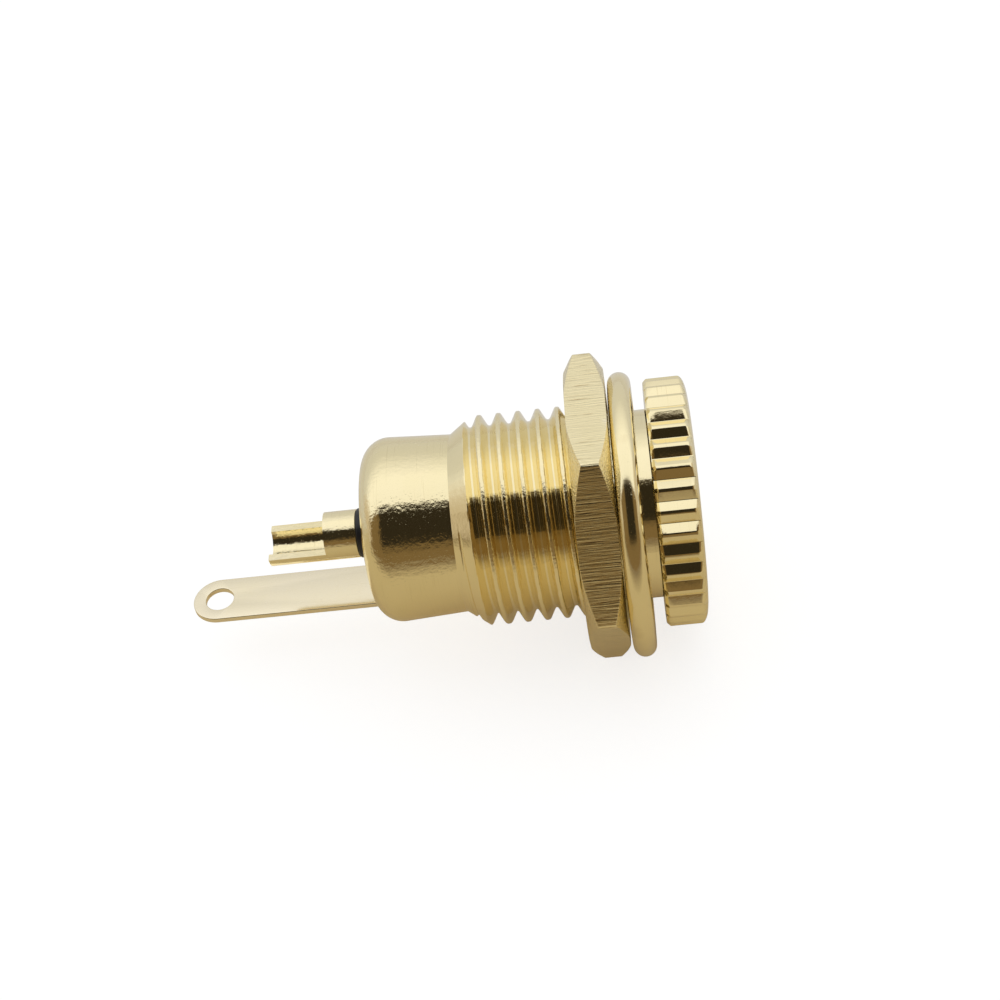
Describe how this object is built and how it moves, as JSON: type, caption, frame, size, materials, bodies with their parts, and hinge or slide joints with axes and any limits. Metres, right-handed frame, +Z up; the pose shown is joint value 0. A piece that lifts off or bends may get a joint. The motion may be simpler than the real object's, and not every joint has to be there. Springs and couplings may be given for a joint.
{
  "type": "dc barrel jack",
  "caption": "Panel-mount dc power socket with a knurled head, threaded bush, hex nut, loose washer, centre pin with a solder cup and a solder lug.",
  "frame": {"origin": "on the barrel's axis, in the plane of the head's back face where the panel seats", "axes": "+X along the barrel towards the plug mouth, +Z up, square to the nut's upper flat and to the solder lug"},
  "size_m": [0.0271, 0.0162, 0.0145],
  "materials": {
    "gold_turned": "bright gold plate on turned brass",
    "gold_milled": "gold plate over milled flats with fine tool lines",
    "gold_polished": "polished gold plate",
    "gold_spring": "gold plated spring bronze",
    "gold_stamped": "pale gold plate on stamped sheet",
    "black_moulding": "black moulded plastic, satin"
  },
  "bodies": {
    "jack": {"shell": "gold_turned", "sleeve_contact": "gold_spring", "insulator": "black_moulding", "centre_pin": "gold_turned", "solder_lug": "gold_stamped"},
    "washer": {"washer": "gold_polished"},
    "nut": {"panel_nut": "gold_milled"}
  },
  "joints": [
    {"name": "washer_travel", "type": "slide", "parent": "jack", "child": "washer", "axis": [-1, 0, 0], "range_m": [-0.0005, 0.0055]},
    {"name": "nut_turn", "type": "hinge", "parent": "washer", "child": "nut", "pos_m": [-0.0029, 0, 0], "axis": [-1, 0, 0], "range_deg": [-182, 1984]}
  ],
  "couplings": [
    {"joint": "nut_turn", "follows": "washer_travel", "rad_per_m": 6283.2}
  ]
}
